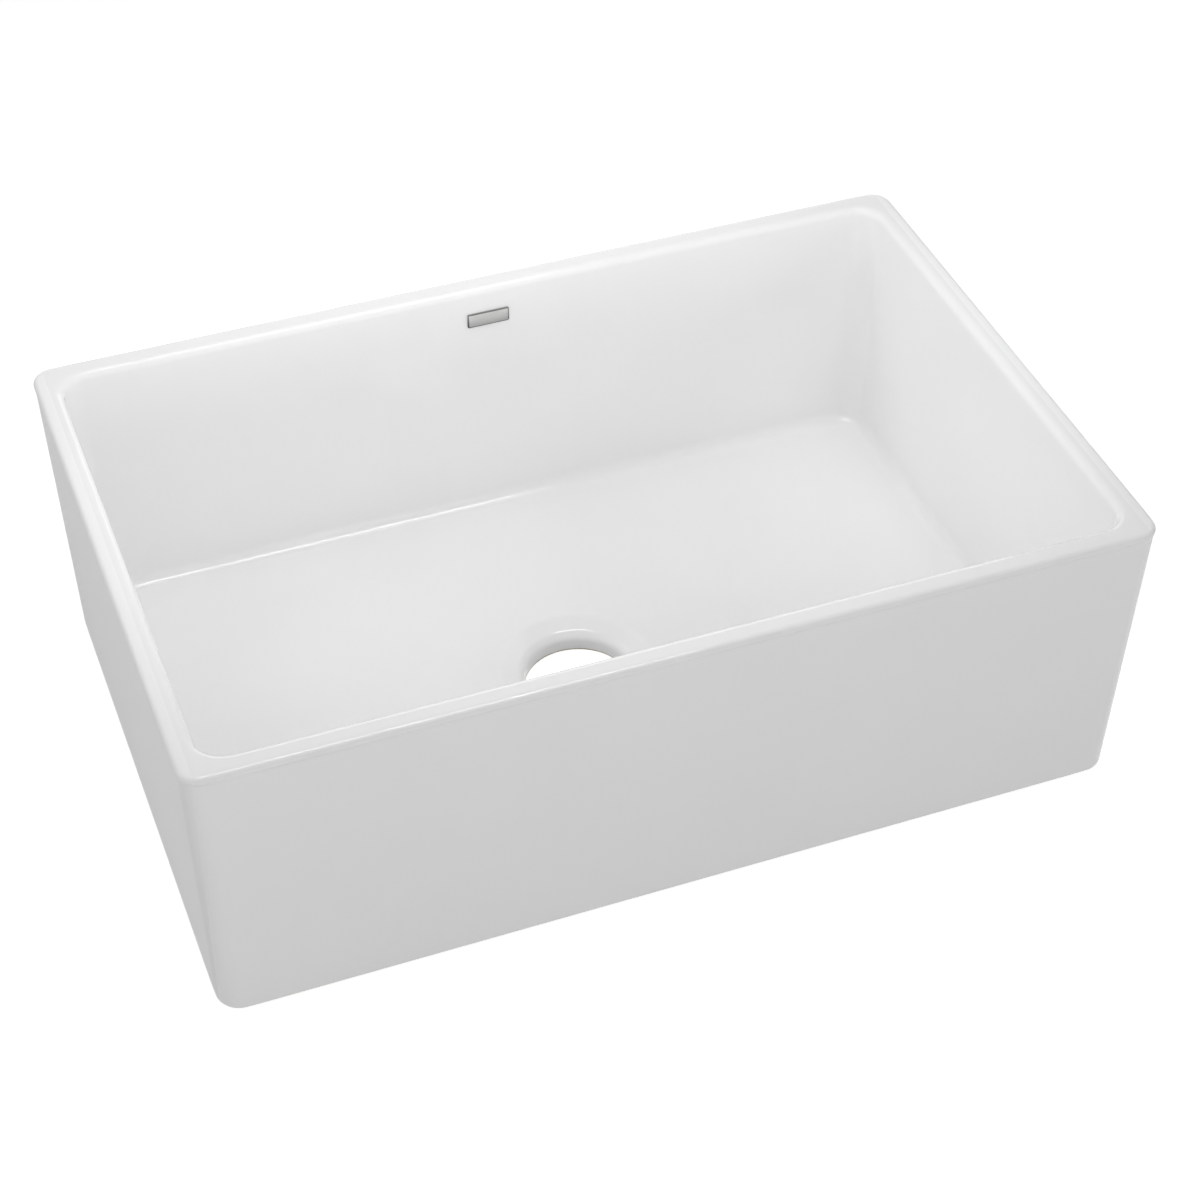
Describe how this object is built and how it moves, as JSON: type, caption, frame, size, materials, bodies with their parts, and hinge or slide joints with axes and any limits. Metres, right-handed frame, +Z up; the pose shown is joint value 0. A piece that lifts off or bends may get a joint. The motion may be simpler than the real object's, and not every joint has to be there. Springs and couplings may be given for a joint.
{
  "type": "farmhouse apron front sink",
  "caption": "Rectangular single-bowl farmhouse sink with a plain apron front, a thin rim bead, a sloped floor with a central drain hole, and a small bare metal badge inside the bowl.",
  "frame": {"origin": "middle of the flat underside, on the axis of the drain bore", "axes": "+X to the right along the apron as seen from the front, +Y from the apron to the back, +Z up out of the bowl"},
  "size_m": [0.76, 0.5, 0.255],
  "materials": {
    "glazed_fireclay": "white gloss glaze over fired clay, bare clay on the underside",
    "badge_metal": "brushed along its length, bevelled edges",
    "adhesive_pad": "matt foam tape"
  },
  "bodies": {
    "root": {"basin": "glazed_fireclay", "badge_plate": "badge_metal", "badge_pad": "adhesive_pad"}
  },
  "joints": []
}
